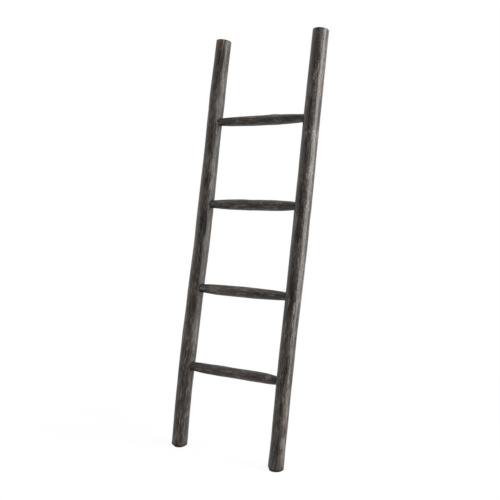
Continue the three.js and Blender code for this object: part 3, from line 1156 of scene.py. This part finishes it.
def make_drill(name, along, radius, centre, axis, number, oval=1):
    """A drill along x, axis 0, or along y, axis 1, with a radius and a width for its height at each place.
    The wall that it leaves is mapped to a free window in the map's top band, which its number picks."""
    angle = ring_angles(DRILL_SIDES)
    along, radius = np.array(along)[:, None], np.array(radius)[:, None]
    across, up = radius * oval * np.cos(angle), radius * np.sin(angle)
    if axis == 0:
        rings = np.stack([along + 0 * angle, across, centre[2] + up], -1)
    else:
        rings = np.stack([centre[0] + up, along + 0 * angle, centre[2] + across], -1)
    flat = (1, 2) if axis == 0 else (0, 2)
    window = (WINDOW_START[0] + WINDOW_STEP * number, WINDOW_START[1], *WINDOW_SIZE)
    return make_skin(name, rings, [drilled_wood], flat=flat, window=window)


def peg_drill(rung, side, low, high, number):
    """The drill for a peg's hole, from under its blind end out through the wall side."""
    hole = (high[0] - low[0]) / 2 + HOLE_CLEARANCE
    along = [low[1] - HOLE_CLEARANCE, high[1] + PEG_OVERRUN]
    return make_drill(f"{rung}_{side}_peg_drill", along, [hole, hole], (low + high) / 2, 1, number)


def mortise_drill(rung, side, centre, number):
    """The drill for a tenon's blind hole. Near the pole's skin it is oval and wide, for the shoulder."""
    sign = SIDES[side]
    low, high, tenon = tenon_ends(rung)
    face = pole_face(side, heights[rung])
    bottom = (low if side == "left" else high) + sign * HOLE_CLEARANCE
    seat = face + sign * (SEAT_DEPTH + SEAT_CLEARANCE)
    along = np.array([bottom, seat, face, face - sign * MOUTH_OVERRUN])
    bore = tenon + HOLE_CLEARANCE
    mouth = RUNG_SHAPES[rung]["shoulders"][0 if side == "left" else 1] + MOUTH_GAP
    radius = np.array([bore, bore, mouth, mouth])
    oval = np.array([1, 1, BODY_OVAL, BODY_OVAL])[:, None]
    along, radius, oval = along[::-sign], radius[::-sign], oval[::-sign]
    return make_drill(f"{rung}_{side}_drill", along, radius, centre, 0, number, oval)


print("the drills leave a gap of", round(1000 * HOLE_CLEARANCE, 1), "mm round each tenon and peg")

# %% [markdown]
# A Boolean modifier needs its drill only until its result is kept as the piece's own mesh. Then the drills
# go.

# %% Drill the holes
SHARP_ANGLE = math.radians(38)


def cut(piece, drills):
    """Takes the drills out of the piece, one after another, and keeps the result as its mesh."""
    for drill in drills:
        modifier = piece.modifiers.new("drill", "BOOLEAN")
        modifier.operation = "DIFFERENCE"
        modifier.solver = "MANIFOLD"
        modifier.object = drill
    state = bpy.context.evaluated_depsgraph_get()
    made = piece.evaluated_get(state)
    mesh = bpy.data.meshes.new_from_object(made, preserve_all_data_layers=True, depsgraph=state)
    piece.modifiers.clear()
    piece.data = mesh
    mesh.name = piece.name
    mesh.set_sharp_from_angle(angle=SHARP_ANGLE)


peg_drills = {}
for index, rung in enumerate(RUNGS):
    for side in SIDES:
        peg = node_points(f"{rung}_{side}_peg")
        peg_low, peg_high = peg.min(0), peg.max(0)
        drill = peg_drill(rung, side, peg_low, peg_high, index)
        mortise = mortise_drill(rung, side, (peg_low + peg_high) / 2, len(RUNGS) + index)
        cut(poles[side], [mortise, drill])
        bpy.data.objects.remove(mortise)
        peg_drills[rung, side] = drill
for rung, piece in rungs.items():
    cut(piece, [peg_drills[rung, side] for side in SIDES])
for drill in peg_drills.values():
    bpy.data.objects.remove(drill)
for piece in [*poles.values(), *rungs.values()]:
    print(piece.name, "has", len(piece.data.polygons), "faces after drilling")

# %% [markdown]
# The studio is plain and pale. The room is white wherever the camera sees it, and nearly so in the shine of
# the wood, where it is dimmer in front of the ladder. It is dimmer still where it lights the wood, so that
# colours come out as they are written. Light Path tells these rays apart, so no lamp has to make the
# background white.

# %% Room
ROOM_LIGHT = 0.12
OVERHEAD = 3.0
ROOM_DIM = 0.26
DIM_REACH = (-0.78, 0.27)
BEYOND_TIP = math.radians(25)
BEYOND = (0, math.cos(BEYOND_TIP), math.sin(BEYOND_TIP))


def seen_directly(tree):
    """1 for rays from the camera and those that a mirror or glass sends on, 0 for light that falls."""
    camera, glossy, through = (
        tree.add("ShaderNodeLightPath", output=name)
        for name in ("Is Camera Ray", "Is Glossy Ray", "Is Transmission Ray"))
    either = tree.add("ShaderNodeMath", {"operation": "MAXIMUM"}, {0: camera, 1: glossy})
    return tree.add("ShaderNodeMath", {"operation": "MAXIMUM"}, {0: either, 1: through})


def towards(tree, points, direction):
    """How far each point lies in this direction, seen from the middle: 1 along it and -1 away."""
    seen = tree.add("ShaderNodeVectorMath", {"operation": "NORMALIZE"}, {0: points})
    return tree.measure("DOT_PRODUCT", seen, direction)


def room_shade(tree, points):
    """How far the room falls short of white: not at all for the camera, nor beyond and above the ladder. In
    a shine, what is straight in front of the ladder is grey."""
    beyond = tree.rise(towards(tree, points, BEYOND), *DIM_REACH)
    camera_ray = tree.add("ShaderNodeLightPath", output="Is Camera Ray")
    return (1 - ROOM_DIM) * (1 - beyond) * (1 - camera_ray)


def make_room():
    """The world: its light falls on the wood, mostly from above, and its white is what is seen of it."""
    world = bpy.data.worlds.new("room")
    bpy.context.scene.world = world
    tree = Tree(world)
    points = tree.add("ShaderNodeTexCoord", output="Generated")
    falling = ROOM_LIGHT * (1 + OVERHEAD * tree.rise(towards(tree, points, (0, 0, 1)), 0.0, 1.0))
    light = tree.add("ShaderNodeBackground", inputs={"Color": (1, 1, 1, 1), "Strength": falling})
    shade = room_shade(tree, points)
    white = tree.add("ShaderNodeBackground", inputs={"Color": (1, 1, 1, 1), "Strength": 1 - shade})
    both = tree.add("ShaderNodeMixShader", inputs={0: seen_directly(tree), 1: light, 2: white})
    tree.add("ShaderNodeOutputWorld", inputs={"Surface": both})


make_room()
print("the room lights the wood at", ROOM_LIGHT, "and is seen as white")

# %% [markdown]
# The floor is as white as the room, so that no horizon shows, but it keeps a share of the ladder's shadow
# near the feet. That is one material: a matt floor and its own light, mixed by the distance from the
# ladder. Right under a foot no light gets in, so a painted shadow, a small dark disc, fades out at the edge
# of the sawn face. In a shine it is wider, so that the bevels of the feet reflect the dark.

# %% Floor
FLOOR_COLOUR = (0.90, 0.90, 0.90)
FLOOR_SIZE = 30.0
FLOOR_GRADE = (1.2, 4.0)
FLOOR_SHADE = 0.2
SHADOW_REACH = (0.5, 1.6)
SHADOW_SHARE = 0.12
SHADOW_LIFT = 1.055
CONTACT_EDGE = 0.004
CONTACT_SHINE = 1.8
CONTACT_LIGHT = 0.05


def painted_contact_shadow(tree, points, in_shine):
    """A painted contact shadow: 1 in the open air, and nearly 0 under each foot, where the dark disc is
    wider in a shine.
    """
    light = 1.0
    for side, (middle, radius, _) in pole_lines.items():
        foot = row_point(float(middle(0.0)), 0, 0)
        sawn = float(radius(0.0)) - FOOT_BEVEL[side][1]
        reached = tree.measure("DISTANCE", points, foot) * (1 - (1 - 1 / CONTACT_SHINE) * in_shine)
        open_air = tree.rise(reached, sawn - CONTACT_EDGE, sawn + CONTACT_EDGE)
        light = light * (CONTACT_LIGHT + (1 - CONTACT_LIGHT) * open_air)
    return light


def make_floor():
    """A flat square. Near the ladder it shows its own light and shade in part, and further out it is plain
    white. In a shine it is a little greyer."""
    half = FLOOR_SIZE / 2
    corners = [(-half, -half, 0), (half, -half, 0), (half, half, 0), (-half, half, 0)]
    mesh = bpy.data.meshes.new("floor")
    mesh.from_pydata(corners, [], [(0, 1, 2, 3)])
    floor = bpy.data.objects.new("floor", mesh)
    bpy.context.scene.collection.objects.link(floor)
    material = bpy.data.materials.new("floor")
    mesh.materials.append(material)
    tree = Tree(material)
    points = tree.add("ShaderNodeTexCoord", output="Object")
    reach = tree.measure("LENGTH", points)
    plain = tree.rise(reach, *SHADOW_REACH)
    far = tree.rise(reach, *FLOOR_GRADE)
    in_shine = 1 - tree.add("ShaderNodeLightPath", output="Is Camera Ray")
    near_shade = FLOOR_SHADE * (1 - far) * in_shine
    strength = SHADOW_LIFT - (SHADOW_LIFT - 1) * plain - near_shade - far * room_shade(tree, points)
    strength = strength * painted_contact_shadow(tree, points, in_shine)
    matt = tree.add("ShaderNodeBsdfDiffuse", inputs={"Color": (*FLOOR_COLOUR, 1)})
    white = tree.add("ShaderNodeEmission", inputs={"Color": (1, 1, 1, 1), "Strength": strength})
    share = seen_directly(tree) * (1 - SHADOW_SHARE * (1 - plain))
    both = tree.add("ShaderNodeMixShader", inputs={0: share, 1: matt, 2: white})
    tree.add("ShaderNodeOutputMaterial", inputs={"Surface": both})


make_floor()
print("the floor is", FLOOR_SIZE, "m wide")

# %% [markdown]
# Two broad soft lamps on the ladder's right, one above the other, lay the long satin band along each pole.
# A weak one on the left keeps the dark side from going black. Each is a flat panel, because the band is the
# panel's own reflection, and its power is worked out from how bright the panel looks.

# %% Lamps
# Each lamp: its place, its width and height, and its brightness.
LAMPS = {
    "high_lamp": ((2.57, 0.28, 2.30), (1.80, 1.8), 6.5),
    "low_lamp": ((2.57, 0.38, 0.75), (2.00, 1.3), 5.1),
    "left_lamp": ((-2.13, -1.49, 1.65), (2.7, 3.1), 0.40),
}


def make_lamp(name, place, size, brightness):
    """A flat soft lamp that faces the ladder at its own height. Its power is brightness * pi * area."""
    data = bpy.data.lights.new(name, "AREA")
    data.shape = "RECTANGLE"
    data.size, data.size_y = size
    data.energy = brightness * math.pi * size[0] * size[1]
    lamp = bpy.data.objects.new(name, data)
    bpy.context.scene.collection.objects.link(lamp)
    lamp.location = place
    lamp.rotation_euler = (math.pi / 2, 0, math.atan2(-place[0], place[1]) + math.pi)
    return lamp


lamps = [make_lamp(name, *lamp) for name, lamp in LAMPS.items()]
bpy.context.scene.view_settings.view_transform = "Standard"
print("the lamps have", [round(lamp.data.energy, 1) for lamp in lamps], "watts")

# %% [markdown]
# Nothing on a ladder moves, so every piece rides on the one body. Each piece stands for the imported node of
# the same part, which stays in the physics.

# %% Tie the pieces to the frame and finish
for side, piece in poles.items():
    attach(piece, BODY)
    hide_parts(f"{side}_rail")
for rung, piece in rungs.items():
    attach(piece, BODY)
    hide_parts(rung)
for (rung, side), piece in pegs.items():
    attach(piece, BODY)
    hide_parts(f"{rung}_{side}_peg")
